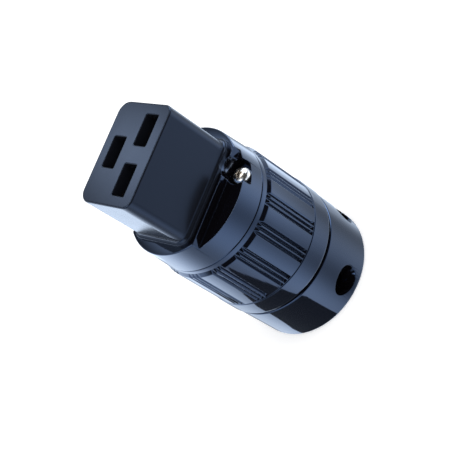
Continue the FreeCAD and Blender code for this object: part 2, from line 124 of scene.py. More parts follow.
class FlangeSizes(bpy.types.PropertyGroup):
    """Round ring that the nose stands in, with its flats and screw pockets."""
    rear_radius: length("Rear radius", "Radius where the flange meets the barrel", 17.8)
    front_radius: length("Front radius", "Radius at the front face", 17.4)
    rear: length("Rear", "Height of the flange's rear face", 43.55)
    front: length("Front", "Height of the flange's front face", 52.8)
    spigot_radius: length("Spigot radius", "Radius of the step that goes into the barrel", 16.1)
    spigot_rear: length("Spigot rear", "Height of the spigot's rear end", 42.9)
    edge_round: length("Edge round", "Rounding of the front rim", 0.3)
    rear_round: length("Rear round", "Rounding of the rear rim", 0.16)
    fit: length("Fit", "Gap between the nose block and the flange", 0.1)
    flat_offset: length("Flat offset", "Distance of the flats' walls from the axis", 11.45)
    flat_depth: length("Flat depth", "Depth of the flats below the front face", 2.35)
    pocket_radius: length("Pocket radius", "Radius of the screw pockets", 3.5)
    pocket_place: length("Pocket place", "Distance of the pockets from the axis", 15.83)
    pocket_floor: length("Pocket floor", "Height of the pockets' floor", 47.6)
    hole_radius: length("Hole radius", "Radius of the body screws' holes", 1.65)
    edge_break: length("Edge break", "Rounding of the cut edges", 0.2)


class BarrelSizes(bpy.types.PropertyGroup):
    """Fluted grip with the smooth band at its rear end."""
    rear: length("Rear", "Height of the barrel's rear end", 16.45)
    front: length("Front", "Height of the barrel's front end", 43.55)
    bore_radius: length("Bore radius", "Radius of the bore", 16.2)
    band_radius: length("Band radius", "Radius of the smooth band", 18.7)
    band_length: length("Band length", "Length of the smooth band", 6.25)
    band_step: length("Band step", "Length of the step from band to panels", 0.3)
    panel_rear_radius: length("Panel rear radius", "Radius of the panels beside the band", 18.52)
    panel_front_radius: length("Panel front radius", "Radius of the panels at their front end", 18.42)
    ring_radius: length("Ring radius", "Radius of the ring in front of the panels", 17.75)
    ring_length: length("Ring length", "Length of the ring in front of the panels", 1.75)
    ring_step: length("Ring step", "Length of the slope from panels to ring", 1.1)
    slope_round: length("Slope round", "Rounding between panels and slope", 0.15)
    front_round: length("Front round", "Rounding of the rim beside the flange", 0.62)
    lip_rear: length("Lip rear", "Height that the band's rim reaches down to, past the rear end", 16.2)
    lip_radius: length("Lip radius", "Radius at which that rim starts", 17.68)
    rear_round: length("Rear round", "Rounding of the band's rim beside the sleeve", 1.0)
    panel_count: IntProperty(name="Panels", description="Number of smooth panels round the grip", default=15)
    groove_lag: turn("Groove lag", "How far the grooves stand back from midway between the screws", 1.5)
    groove_turn: turn("Groove spacing", "Angle between two neighbouring grooves", 4.1)
    groove_width: length("Groove width", "Width of a groove at the panels' surface", 0.95)
    groove_floor: length("Groove floor", "Width of a groove's floor", 0.1)
    groove_run_out: length("Groove run-out", "Length of a groove's slanted end", 0.8)
    ridge_round: length("Ridge round", "Rounding of the grooves' edges", 0.12)
    boss_radius: length("Boss radius", "Radius of the bosses for the threaded inserts", 2.8)
    boss_bite: length("Boss bite", "How far the bosses reach into the barrel's wall", 0.3)
    boss_rear: length("Boss rear", "Height of the bosses' rear end", 32.05)
    boss_front: length("Boss front", "Height of the bosses' front end", 40.9)
    insert_rear: length("Insert rear", "Height of the threaded inserts' rear end", 34.05)
    insert_radius: length("Insert radius", "Radius of the holes for the inserts", 1.85)
    insert_seat_radius: length("Seat radius", "Radius of the holes behind the inserts", 1.6)
    snap_low: length("Snap groove low", "Height of the snap groove's rear side", 18.45)
    snap_high: length("Snap groove high", "Height of the snap groove's front side", 19.45)
    snap_depth: length("Snap groove depth", "Depth of the snap groove in the bore", 0.35)


class SleeveSizes(bpy.types.PropertyGroup):
    """Rear sleeve with the cord's entry and the bores to the clamp screws."""
    length: length("Length", "Length of the sleeve's outside", 15.8)
    rear_radius: length("Rear radius", "Radius at the cord's end", 18.33)
    front_radius: length("Front radius", "Radius beside the barrel", 18.5)
    end_round: length("End round", "Rounding of the rear rim", 0.55)
    front_round: length("Front round", "Rounding of the rim beside the joint groove", 0.45)
    neck_radius: length("Neck radius", "Radius of the neck in the joint groove", 17.6)
    bore_radius: length("Bore radius", "Radius of the bore", 14.6)
    end_wall: length("End wall", "Thickness of the end wall", 2.4)
    entry_radius: length("Entry radius", "Radius of the cord's entry", 5.5)
    entry_round: length("Entry round", "Rounding of the entry's rim", 0.5)
    spigot_radius: length("Spigot radius", "Radius of the part that goes into the barrel", 16.1)
    spigot_front: length("Spigot front", "Height of the spigot's front end", 20.95)
    bead_low: length("Bead low", "Height of the snap bead's rear side", 18.55)
    bead_width: length("Bead width", "Length of the snap bead", 0.8)
    bead_height: length("Bead height", "Height of the snap bead above the spigot", 0.35)
    access_radius: length("Access radius", "Radius of the bores to the clamp screws", 3.4)
    access_height: length("Access height", "Height of the bores to the clamp screws", 5.2)
    access_start: length("Access start", "Distance from the axis at which those bores start", 6.2)
    access_round: length("Access round", "Rounding of the bores' rims", 0.16)
    clamp_offset: length("Clamp offset", "Distance of each clamp screw from the middle", 10.3)


class ScrewSizes(bpy.types.PropertyGroup):
    """Cross-recess screws: two in the flange, two in the cord clamp."""
    turn: turn("Screw turn", "Direction of the right body screw, seen from the axis", 120.0)
    body_place: length("Body screw place", "Distance of the body screws from the axis", 15.0)
    body_seat: length("Body screw seat", "Height that the body screws' heads rest on", 47.6)
    body_head_radius: length("Body head radius", "Radius of the body screws' heads", 2.4)
    body_head_height: length("Body head height", "Height of the body screws' heads", 2.1)
    body_grip: length("Body screw length", "Length of the body screws under their heads", 14.0)
    body_shank_radius: length("Body thread radius", "Outer radius of the body screws' thread", 1.45)
    body_pitch: length("Body thread pitch", "Pitch of the body screws' thread", 0.5)
    body_recess_turn: turn("Recess turn", "Turn of the cross recess in the body screws' heads", 20.0)
    clamp_seat: length("Clamp screw seat", "Distance from the axis that the clamp screws' heads rest at", 6.2)
    clamp_head_radius: length("Clamp head radius", "Radius of the clamp screws' heads", 2.6)
    clamp_head_height: length("Clamp head height", "Height of the clamp screws' heads", 2.0)
    clamp_length: length("Clamp screw length", "Length of the clamp screws under their heads", 12.6)
    clamp_shank_radius: length("Clamp thread radius", "Outer radius of the clamp screws' thread", 1.5)
    clamp_pitch: length("Clamp thread pitch", "Pitch of the clamp screws' thread", 0.5)
    recess_length: length("Recess length", "Width of the cross recess over two wings", 3.0)
    recess_width: length("Recess width", "Width of one wing of the cross recess", 0.75)
    recess_depth: length("Recess depth", "Depth of the cross recess", 1.3)


class Finishes(bpy.types.PropertyGroup):
    """Colours of the materials."""
    shell: colour("Shell", "Gloss black polyamide", "#08070a")
    nose_shell: colour("Nose", "Satin black polyamide of the nose", "#14161c")
    shell_sheen: colour("Shell reflection", "Tint of the shell's reflections", "#aecbfa")
    insulator: colour("Insulator", "Ivory thermoset of the contact retainer", "#cfcabd")
    clamp: colour("Clamp", "Matt black polyamide of the cord clamp", "#17181b")
    nickel: colour("Nickel", "Bright nickel plate of the body screws", "#ded4c8")
    zinc: colour("Zinc", "Zinc-plated steel of the inner screws and nuts", "#c4c8cc")
    contact: colour("Contact alloy", "Copper alloy sheet of the contacts", "#d8b36a")
    brass: colour("Brass", "Turned brass of terminals and inserts", "#c8a050")


class StageSettings(bpy.types.PropertyGroup):
    """Camera, floor and studio light."""
    camera_place: FloatVectorProperty(name="Camera place", description="Where the camera stands",
                                      default=(0.06285, 0.23460, 0.24780), subtype="TRANSLATION",
                                      unit="LENGTH", precision=5)
    camera_turn: FloatVectorProperty(name="Camera turn", description="Direction the camera looks in",
                                     default=[math.radians(a) for a in (31.4618, 39.3924, 119.3382)],
                                     subtype="EULER", unit="ROTATION")
    camera_lens: FloatProperty(name="Lens", description="Focal length on a 36 mm wide sensor",
                               default=101.207, unit="CAMERA")
    floor_radius: length("Floor radius", "Radius of the floor", 1500.0)
    floor: colour("Floor", "White sweep that the connector stands on", "#ffffff")
    floor_lift: number("Floor lift", "Glow that keeps the floor white to the camera", 0.3)
    sky_light: number("Sky light", "Strength of the even light from all round", 1.0)
    key_light: number("Key light", "Power of the large soft lamp, in watts", 0.6)
    lamp_place: FloatVectorProperty(name="Lamp place", description="Where the large soft lamp stands",
                                    default=(-0.35, 0.25, 0.6), subtype="TRANSLATION", unit="LENGTH")
    lamp_aim: length("Lamp aim", "Height on the connector's axis that the lamp points at", 40.0)
    lamp_size: length("Lamp size", "Diameter of the large soft lamp", 500.0)
    tent: colour("Tent light", "Cool light of the tent's walls, seen in the gloss", "#d7e8ff")
    tent_strength: number("Tent strength", "Strength of that colour at brightness 1", 1.46)
    wall_level: number("Wall level", "Mean brightness of the tent's walls", 1.5)
    wall_swing: number("Wall swing", "How much brighter a wall's middle is than the mean", 0.6)
    wall_lean: number("Wall lean", "Extra brightness on the brightest side", 0.4)
    lean_turn: turn("Lean turn", "Direction of the brightest side", -70.0)
    wall_turn: turn("Wall turn", "Direction of the middle of the first wall", 47.0)
    roof_back: number("Roof behind", "Brightness of the roof behind the connector", 1.1)
    roof_front: number("Roof in front", "Brightness of the opening that the camera looks in through", 0.04)
    opening_turn: turn("Opening turn", "Direction of the tent's opening", 75.0)
    gap_turn: turn("Gap turn", "Direction of the dark gap between two walls", -110.0)
    gap_level: number("Gap level", "What the gap leaves of the walls' brightness", 0.2)
    strip_turn: turn("Strip turn", "Direction of the strip lamp", 185.0)
    strip_height: turn("Strip height", "Height of the strip lamp above the horizon", 28.0)
    strip_level: number("Strip level", "Brightness of the strip lamp", 6.0)
    side_strip_turn: turn("Side strip turn", "Direction of the second strip lamp", 5.0)
    side_strip_height: turn("Side strip height", "Height of the second strip lamp above the horizon", 38.0)
    side_strip_level: number("Side strip level", "Brightness of the second strip lamp", 2.7)


class ConnectorSettings(bpy.types.PropertyGroup):
    """All sizes, colours and stage settings of the connector."""
    nose: PointerProperty(type=NoseSizes)
    flange: PointerProperty(type=FlangeSizes)
    barrel: PointerProperty(type=BarrelSizes)
    sleeve: PointerProperty(type=SleeveSizes)
    screws: PointerProperty(type=ScrewSizes)
    finishes: PointerProperty(type=Finishes)
    stage: PointerProperty(type=StageSettings)


# Mesh tools

def add_object(name, bm):
    """Object at the origin that holds the shape of a bmesh."""
    bmesh.ops.recalc_face_normals(bm, faces=bm.faces)
    mesh = bpy.data.meshes.new(name)
    bm.to_mesh(mesh)
    bm.free()
    piece = bpy.data.objects.new(name, mesh)
    bpy.context.scene.collection.objects.link(piece)
    return piece


def turned(corners, steps=240, segments=4):
    """Solid of revolution about Z from (radius, height, rounding) corners."""
    bm = bmesh.new()
    points = [bm.verts.new((radius, 0, height)) for radius, height, rounding in corners]
    bm.faces.new(points)
    for rounding in sorted({corner[2] for corner in corners} - {0}):
        chosen = [p for p, corner in zip(points, corners) if corner[2] == rounding]
        bmesh.ops.bevel(bm, geom=chosen, offset=rounding, offset_type="OFFSET", segments=segments,
                        profile=0.5, affect="VERTICES", material=-1)
    bmesh.ops.delete(bm, geom=bm.faces[:], context="FACES_ONLY")
    on_axis = [edge for edge in bm.edges if max(v.co.x for v in edge.verts) < 1e-7]
    bmesh.ops.delete(bm, geom=on_axis, context="EDGES")
    bmesh.ops.spin(bm, geom=bm.verts[:] + bm.edges[:], cent=(0, 0, 0), axis=(0, 0, 1), dvec=(0, 0, 0),
                   angle=math.tau, steps=steps, use_merge=True)
    bmesh.ops.remove_doubles(bm, verts=bm.verts, dist=1e-7)
    return bm


def outline(width, depth, low_corner, high_corner, height, segments=8):
    """Flat face with one radius on the corners at low Y and another at high Y, facing up."""
    bm = bmesh.new()
    corners = [bm.verts.new((right * width / 2, up * depth / 2, height))
               for right, up in ((-1, -1), (1, -1), (1, 1), (-1, 1))]
    bm.faces.new(corners)
    for rounding, chosen in ((low_corner, corners[:2]), (high_corner, corners[2:])):
        bmesh.ops.bevel(bm, geom=chosen, offset=rounding, offset_type="OFFSET", segments=segments,
                        profile=0.5, affect="VERTICES", material=-1)
    bm.faces.ensure_lookup_table()
    return bm, bm.faces[0]


def extrude(bm, face, distance):
    """Carry a face along Z, with new sides behind it."""
    grown = bmesh.ops.extrude_face_region(bm, geom=[face] + face.edges[:] + face.verts[:])["geom"]
    moved = [item for item in grown if isinstance(item, bmesh.types.BMVert)]
    bmesh.ops.translate(bm, verts=moved, vec=(0, 0, distance))
    return next(item for item in grown if isinstance(item, bmesh.types.BMFace))


def inset(bm, face, inward, along):
    """Shrink a face by a parallel offset while it moves along its normal."""
    bmesh.ops.inset_region(bm, faces=[face], thickness=inward, depth=along, use_even_offset=True,
                           use_boundary=True)


def curve_in(bm, face, radius, hollow, segments=5):
    """Carry a face up and in along a quarter round, outwards round or hollow."""
    done_in = done_along = 0.0
    for step in range(1, segments + 1):
        angle = math.pi / 2 * step / segments
        rise, close = radius * math.sin(angle), radius * (1 - math.cos(angle))
        inward, along = (rise, close) if hollow else (close, rise)
        inset(bm, face, inward - done_in, along - done_along)
        done_in, done_along = inward, along


def upright_cylinder(bm, radius, low, high, x=0.0, y=0.0, segments=72):
    """Closed upright cylinder between two heights."""
    middle = Matrix.Translation((x, y, (low + high) / 2))
    bmesh.ops.create_cone(bm, cap_ends=True, segments=segments, radius1=radius, radius2=radius,
                          depth=high - low, matrix=middle)


def block(bm, low, high):
    """Closed box between two corners."""
    low, high = Vector(low), Vector(high)
    size = Matrix.Diagonal((high - low).to_4d())
    bmesh.ops.create_cube(bm, size=1.0, matrix=Matrix.Translation((low + high) / 2) @ size)


def combine(piece, tool_bm, operation="DIFFERENCE"):
    """Cut or join a closed piece with a closed tool, and keep only the result."""
    tool = add_object("tool", tool_bm)
    modifier = piece.modifiers.new("combine", "BOOLEAN")
    modifier.operation = operation
    modifier.solver = "EXACT"
    modifier.object = tool
    ready = piece.evaluated_get(bpy.context.evaluated_depsgraph_get())
    result = bpy.data.meshes.new_from_object(ready)
    result.name = piece.name
    piece.modifiers.clear()
    used = (piece.data, tool.data)
    piece.data = result
    bpy.data.objects.remove(tool)
    for mesh in used:
        bpy.data.meshes.remove(mesh)


def in_order(mesh):
    """Bmesh of a mesh with its points and faces in one fixed order. Cutting leaves them in another order
    in each run, and rounding and the split into triangles depend on it."""
    bm = bmesh.new()
    by_place = sorted(mesh.vertices, key=lambda vert: vert.co[:])
    rank = {vert.index: place for place, vert in enumerate(by_place)}
    verts = [bm.verts.new(vert.co) for vert in by_place]
    faces = []
    for face in mesh.polygons:
        corners = [rank[index] for index in face.vertices]
        first = corners.index(min(corners))
        faces.append(corners[first:] + corners[:first])
    for corners in sorted(faces):
        bm.faces.new([verts[corner] for corner in corners])
    return bm


def soften(piece, width, least=math.radians(35), segments=2, within=None):
    """Round the sharp edges of a cut piece. within picks them by their middle."""
    bm = in_order(piece.data)
    bmesh.ops.remove_doubles(bm, verts=bm.verts, dist=width / 5)
    bmesh.ops.dissolve_degenerate(bm, dist=width / 50, edges=bm.edges)
    sharp = [edge for edge in bm.edges if edge.is_manifold and edge.calc_face_angle() > least
             and (within is None or within((edge.verts[0].co + edge.verts[1].co) / 2))]
    bmesh.ops.bevel(bm, geom=sharp, offset=width, offset_type="OFFSET", segments=segments,
                    profile=0.5, affect="EDGES", material=-1, loop_slide=True)
    bmesh.ops.recalc_face_normals(bm, faces=bm.faces)
    bm.to_mesh(piece.data)
    bm.free()


def finish(piece, material, node, smooth=math.radians(38)):
    """Shade a piece, give it its material, and let it stand for its CAD node."""
    piece.data.materials.clear()
    piece.data.materials.append(material)
    piece.data.shade_smooth()
    piece.data.set_sharp_from_angle(angle=smooth)
    weighted = piece.modifiers.new("flat faces stay flat", "WEIGHTED_NORMAL")
    weighted.keep_sharp = True
    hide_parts(node)
    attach(piece, "root")


def polar(radius, angle):
    """X and Y at a distance from the axis and a turn round it."""
    return radius * math.cos(angle), radius * math.sin(angle)


# Materials

def add_node(tree, kind, settings=None, links=None):
    """Add a node, set its sockets and properties, and link sockets into it."""
    node = tree.nodes.new(kind)
    for name, value in (settings or {}).items():
        if isinstance(name, int) or name in node.inputs:
            node.inputs[name].default_value = value
        else:
            setattr(node, name, value)
    for name, source in (links or {}).items():
        tree.links.new(source, node.inputs[name])
    return node


def new_material(name):
    """Empty node material with its output."""
    material = bpy.data.materials.get(name) or bpy.data.materials.new(name)
    material.use_nodes = True
    material.node_tree.nodes.clear()
    return material, material.node_tree, add_node(material.node_tree, "ShaderNodeOutputMaterial")


def gloss_polyamide(finishes, name="gloss black polyamide, moulded", gloss=0.07, worn=0.04, index=1.62,
                    streak=0.0, body=None):
    """Injection-moulded polyamide from a polished mould: deep black under cool, sharp reflections that
    waver a little where the wall shrank, with a faint patchy haze. The nose comes from a duller mould
    and is a slightly lighter black. streak is the height of the lines that the ribbed mould drew along
    the barrel when it opened."""
    material, tree, output = new_material(name)
    place = add_node(tree, "ShaderNodeTexCoord").outputs["Object"]
    # haze patches about 8 mm across
    haze = add_node(tree, "ShaderNodeTexNoise", {"Scale": 1 / (8 * MM), "Detail": 3.0, "Roughness": 0.6},
                    {"Vector": place})
    rough = add_node(tree, "ShaderNodeMapRange", {"To Min": gloss - worn / 2, "To Max": gloss + worn / 2},
                     {"Value": haze.outputs["Fac"]})
    # the wavy skin of a moulding, 2.5 mm from crest to crest
    waver = add_node(tree, "ShaderNodeTexNoise", {"Scale": 1 / (2.5 * MM), "Detail": 1.0}, {"Vector": place})
    skin = add_node(tree, "ShaderNodeBump", {"Strength": 0.05, "Distance": 0.02 * MM},
                    {"Height": waver.outputs["Fac"]})
    if streak:
        # drawn lines about 1.6 mm apart and forty times as long
        drawn = add_node(tree, "ShaderNodeMapping", {"Scale": (1.0, 1.0, 0.025)}, {"Vector": place})
        lines = add_node(tree, "ShaderNodeTexNoise", {"Scale": 1 / (1.6 * MM), "Detail": 2.0},
                         {"Vector": drawn.outputs["Vector"]})
        skin = add_node(tree, "ShaderNodeBump", {"Strength": 1.0, "Distance": streak},
                        {"Height": lines.outputs["Fac"], "Normal": skin.outputs["Normal"]})
    shader = add_node(tree, "ShaderNodeBsdfPrincipled",
                      {"Base Color": body or finishes.shell, "IOR": index,
                       "Specular Tint": finishes.shell_sheen},
                      {"Roughness": rough.outputs["Result"], "Normal": skin.outputs["Normal"]})
    tree.links.new(shader.outputs["BSDF"], output.inputs["Surface"])
    return material


def moulded_thermoset(finishes):
    """Pressed thermoset: opaque, dry and dull, mottled by its filler."""
    material, tree, output = new_material("ivory thermoset, pressed")
    place = add_node(tree, "ShaderNodeTexCoord").outputs["Object"]
    # filler shows as flecks of about 0.6 mm
    flecks = add_node(tree, "ShaderNodeTexNoise", {"Scale": 1 / (0.6 * MM), "Detail": 4.0}, {"Vector": place})
    tone = add_node(tree, "ShaderNodeMapRange", {"To Min": 0.86, "To Max": 1.06},
                    {"Value": flecks.outputs["Fac"]})
    body = add_node(tree, "ShaderNodeVectorMath", {"operation": "SCALE", 0: finishes.insulator[:3]},
                    {"Scale": tone.outputs["Result"]})
    grain = add_node(tree, "ShaderNodeBump", {"Strength": 0.2, "Distance": 0.03 * MM},
                     {"Height": flecks.outputs["Fac"]})
    shader = add_node(tree, "ShaderNodeBsdfPrincipled", {"Roughness": 0.55, "IOR": 1.55},
                      {"Base Color": body.outputs["Vector"], "Normal": grain.outputs["Normal"]})
    tree.links.new(shader.outputs["BSDF"], output.inputs["Surface"])
    return material


def matt_polyamide(finishes):
    """Moulded polyamide from a spark-eroded mould: a fine even texture that kills the gloss."""
    material, tree, output = new_material("matt black polyamide, moulded")
    place = add_node(tree, "ShaderNodeTexCoord").outputs["Object"]
    # the mould's texture has a grain of about 0.15 mm
    grain = add_node(tree, "ShaderNodeTexVoronoi", {"Scale": 1 / (0.15 * MM)}, {"Vector": place})
    relief = add_node(tree, "ShaderNodeBump", {"Strength": 0.25, "Distance": 0.02 * MM},
                      {"Height": grain.outputs["Distance"]})
    shader = add_node(tree, "ShaderNodeBsdfPrincipled",
                      {"Base Color": finishes.clamp, "Roughness": 0.5, "IOR": 1.53},
                      {"Normal": relief.outputs["Normal"]})
    tree.links.new(shader.outputs["BSDF"], output.inputs["Surface"])
    return material


def worked_metal(name, tint, dull, spread, grain, relief, along=(1.0, 1.0, 1.0)):
    """Metal whose tool marks or plating grain show as fine uneven gloss. along stretches the grain."""
    material, tree, output = new_material(name)
    place = add_node(tree, "ShaderNodeTexCoord").outputs["Object"]
    stretched = add_node(tree, "ShaderNodeMapping", {"Scale": along}, {"Vector": place})
    marks = add_node(tree, "ShaderNodeTexNoise", {"Scale": 1 / grain, "Detail": 4.0, "Roughness": 0.65},
                     {"Vector": stretched.outputs["Vector"]})
    rough = add_node(tree, "ShaderNodeMapRange", {"To Min": dull - spread, "To Max": dull + spread},
                     {"Value": marks.outputs["Fac"]})
    skin = add_node(tree, "ShaderNodeBump", {"Strength": relief, "Distance": 0.01 * MM},
                    {"Height": marks.outputs["Fac"]})
    shader = add_node(tree, "ShaderNodeBsdfPrincipled", {"Base Color": tint, "Metallic": 1.0},
                      {"Roughness": rough.outputs["Result"], "Normal": skin.outputs["Normal"]})
    tree.links.new(shader.outputs["BSDF"], output.inputs["Surface"])
    return material


# Pieces

def poles(nose):
    """Places of the line, neutral and earth slots."""
    apart = nose.pole_spacing / 2
    return (apart, nose.live_row), (-apart, nose.live_row), (0.0, nose.earth_row)


def screw_pockets(flange, screws):
    """Tool for the two pockets that the body screws' heads sit in."""
    tool = bmesh.new()
    for half_turn in (0.0, math.pi):
        x, y = polar(flange.pocket_place, screws.turn + half_turn)
        upright_cylinder(tool, flange.pocket_radius, flange.pocket_floor, flange.front + 5 * PAST, x, y)
    return tool


class CONNECTOR_OT_nose(bpy.types.Operator):
    """Make the nose block with its collar, slots and contact chambers"""
    bl_idname = "connector.nose"
    bl_label = "Nose"

    def execute(self, context):
        settings = context.scene.connector
        nose, flange = settings.nose, settings.flange
        bm, rear_face = outline(nose.width + 2 * nose.collar_step, nose.depth + 2 * nose.collar_step,
                                nose.corner_earth + nose.collar_step, nose.corner_live + nose.collar_step,
                                nose.seat)
        top = extrude(bm, rear_face, nose.collar_height - nose.collar_round)
        curve_in(bm, top, nose.collar_round, hollow=False, segments=3)
        inset(bm, top, nose.collar_step - nose.collar_round - nose.collar_blend, 0.0)
        curve_in(bm, top, nose.collar_blend, hollow=True)
        wall_top = nose.front - nose.edge_round
        top = extrude(bm, top, wall_top - nose.seat - nose.collar_height - nose.collar_blend)
        curve_in(bm, top, nose.edge_round, hollow=False)
        inset(bm, rear_face, nose.collar_step, 0.0)
        extrude(bm, rear_face, nose.rear - nose.seat)
        piece = add_object("nose_block", bm)
        combine(piece, screw_pockets(flange, settings.screws))
        mouths, chambers = bmesh.new(), bmesh.new()
        flare, corner = nose.slot_flare, nose.slot_corner + nose.slot_flare
        for x, y in poles(nose):
            # drawn upside down, from past the front face inwards, and then turned over
            slot, face = outline(nose.slot_width + 2 * flare, nose.slot_height + 2 * flare, corner, corner,
                                 -PAST, segments=4)
            face = extrude(slot, face, PAST)
            curve_in(slot, face, flare, hollow=True, segments=4)
            extrude(slot, face, nose.slot_wall - flare + PAST)
            place = Matrix.Translation((x, y, nose.front)) @ Matrix.Rotation(math.pi, 4, "X")
            bmesh.ops.transform(slot, verts=slot.verts, matrix=place)
            part = bpy.data.meshes.new("slot")
            slot.to_mesh(part)
            slot.free()
            mouths.from_mesh(part)
            bpy.data.meshes.remove(part)
            block(chambers, (x - nose.chamber_width / 2, y - nose.chamber_height / 2, nose.rear - PAST),
                  (x + nose.chamber_width / 2, y + nose.chamber_height / 2, nose.front - nose.slot_wall))
        for side in (1, -1):
            upright_cylinder(chambers, nose.pilot_radius, nose.rear - PAST, nose.rear + nose.pilot_depth,
                             side * nose.pilot_x, nose.pilot_y, segments=32)
        combine(piece, mouths)
        combine(piece, chambers)
        ordered = in_order(piece.data)
        ordered.to_mesh(piece.data)
        ordered.free()
        satin = gloss_polyamide(settings.finishes, "satin black polyamide, moulded", 0.22, 0.05, 1.35,
                                body=settings.finishes.nose_shell)
        finish(piece, satin, "nose_body")
        return {"FINISHED"}


class CONNECTOR_OT_flange(bpy.types.Operator):
    """Make the round ring that the nose stands in"""
    bl_idname = "connector.flange"
    bl_label = "Flange"

    def execute(self, context):
        settings = context.scene.connector
        nose, flange, screws = settings.nose, settings.flange, settings.screws
        bm = turned([
            (0, flange.spigot_rear, 0),
            (flange.spigot_radius, flange.spigot_rear, EDGE),
            (flange.spigot_radius, flange.rear, 0),
            (flange.rear_radius, flange.rear, flange.rear_round),
            (flange.front_radius, flange.front, flange.edge_round),
            (0, flange.front, 0),
        ])
        piece = add_object("flange_ring", bm)
        opening, face = outline(nose.width + 2 * flange.fit, nose.depth + 2 * flange.fit,
                                nose.corner_earth + flange.fit, nose.corner_live + flange.fit,
                                flange.spigot_rear - PAST)
        extrude(opening, face, flange.front - flange.spigot_rear + 2 * PAST)
        combine(piece, opening)
        flats, holes = bmesh.new(), bmesh.new()
        reach = flange.rear_radius + PAST
        for side in (1, -1):
            near, far = sorted((side * flange.flat_offset, side * reach))
            block(flats, (-reach, near, flange.front - flange.flat_depth), (reach, far, flange.front + PAST))
            x, y = polar(screws.body_place, screws.turn + (side - 1) * math.pi / 2)
            upright_cylinder(holes, flange.hole_radius, flange.spigot_rear - PAST, flange.front, x, y,
                             HOLE_SEGMENTS)
        combine(piece, flats)
        combine(piece, screw_pockets(flange, screws))
        combine(piece, holes)
        soften(piece, flange.edge_break, within=lambda middle: middle.z > flange.pocket_floor + 2 * EDGE)
        finish(piece, gloss_polyamide(settings.finishes), "front_flange")
        return {"FINISHED"}


class CONNECTOR_OT_barrel(bpy.types.Operator):
    """Make the fluted grip with its smooth band"""
    bl_idname = "connector.barrel"
    bl_label = "Barrel"

    def execute(self, context):
        settings = context.scene.connector
        barrel, screws = settings.barrel, settings.screws
        band_front = barrel.rear + barrel.band_length
        ring_rear = barrel.front - barrel.ring_length
        bm = turned([
            (barrel.bore_radius, barrel.rear, EDGE),
            (barrel.lip_radius, barrel.rear, 0),
            (barrel.lip_radius, barrel.lip_rear, 0),
            (barrel.band_radius, barrel.lip_rear, barrel.rear_round),
            (barrel.band_radius, band_front, FINE_EDGE),
            (barrel.panel_rear_radius, band_front + barrel.band_step, FINE_EDGE),
            (barrel.panel_front_radius, ring_rear - barrel.ring_step, barrel.slope_round),
            (barrel.ring_radius, ring_rear, EDGE),
            (barrel.ring_radius, barrel.front, barrel.front_round),
            (barrel.bore_radius, barrel.front, EDGE),
            (barrel.bore_radius, barrel.snap_high, 0),
            (barrel.bore_radius + barrel.snap_depth, barrel.snap_high, 0),
            (barrel.bore_radius + barrel.snap_depth, barrel.snap_low, 0),
            (barrel.bore_radius, barrel.snap_low, 0),
        ], steps=BARREL_STEPS)
        piece = add_object("fluted_barrel", bm)
        bosses, seats, ways = bmesh.new(), bmesh.new(), bmesh.new()
        for half_turn in (0.0, math.pi):
            x, y = polar(screws.body_place, screws.turn + half_turn)
            upright_cylinder(bosses, barrel.boss_radius, barrel.boss_rear, barrel.boss_front, x, y)
            upright_cylinder(seats, barrel.insert_radius, barrel.insert_rear, barrel.boss_front + PAST,
                             x, y, HOLE_SEGMENTS)
            upright_cylinder(ways, barrel.insert_seat_radius, barrel.boss_rear - PAST,
                             barrel.front + PAST, x, y, HOLE_SEGMENTS)
        shell = bmesh.new()
        upright_cylinder(shell, barrel.bore_radius + barrel.boss_bite, barrel.boss_rear - PAST,
                         barrel.boss_front + PAST, segments=BARREL_STEPS // 2)
        boss_piece = add_object("bosses", bosses)
        combine(boss_piece, shell, "INTERSECT")
        joined = bmesh.new()
        joined.from_mesh(boss_piece.data)
        bpy.data.objects.remove(boss_piece)
        combine(piece, joined, "UNION")
        combine(piece, seats)
        combine(piece, ways)
        combine(piece, self.groove_tool(barrel, screws))
        # only the grooves' long edges, between the band's step and the ring
        low, high = band_front + barrel.band_step + EDGE, ring_rear - EDGE
        soften(piece, barrel.ridge_round, within=lambda middle: low < middle.z < high
               and math.hypot(middle.x, middle.y) > barrel.ring_radius + 2 * EDGE)
        ribbed = gloss_polyamide(settings.finishes, "gloss black polyamide, ribbed mould", streak=0.02 * MM)
        finish(piece, ribbed, "barrel")
        return {"FINISHED"}

    def groove_tool(self, barrel, screws):
        """Three V-shaped tools between each two panels, with a slanted end at the band."""
        outer = barrel.band_radius + PAST
        start = barrel.rear + barrel.band_length + barrel.band_step + EDGE / 2
        slant = barrel.groove_run_out / (barrel.panel_rear_radius - barrel.ring_radius)
        rear = start - slant * (outer - barrel.panel_rear_radius)
        widen = (outer - barrel.ring_radius) / (barrel.panel_front_radius - barrel.ring_radius)
        mouth, floor = barrel.groove_width / 2 * widen, barrel.groove_floor / 2
        tool = bmesh.new()
        corners = [tool.verts.new(place) for place in (
            (outer, -mouth, rear), (outer, mouth, rear),
            (barrel.ring_radius, floor, start + barrel.groove_run_out),
            (barrel.ring_radius, -floor, start + barrel.groove_run_out))]
        extrude(tool, tool.faces.new(corners), barrel.front - rear + PAST)
        panel_turn = math.tau / barrel.panel_count
        first = screws.turn + panel_turn / 2 - barrel.groove_turn - barrel.groove_lag
        bmesh.ops.rotate(tool, verts=tool.verts, cent=(0, 0, 0), matrix=Matrix.Rotation(first, 3, "Z"))
        bmesh.ops.spin(tool, geom=tool.faces[:], cent=(0, 0, 0), axis=(0, 0, 1), dvec=(0, 0, 0),
                       angle=2 * barrel.groove_turn, steps=2, use_duplicate=True)
        bmesh.ops.spin(tool, geom=tool.faces[:], cent=(0, 0, 0), axis=(0, 0, 1), dvec=(0, 0, 0),
                       angle=math.tau - panel_turn, steps=barrel.panel_count - 1, use_duplicate=True)
        return tool


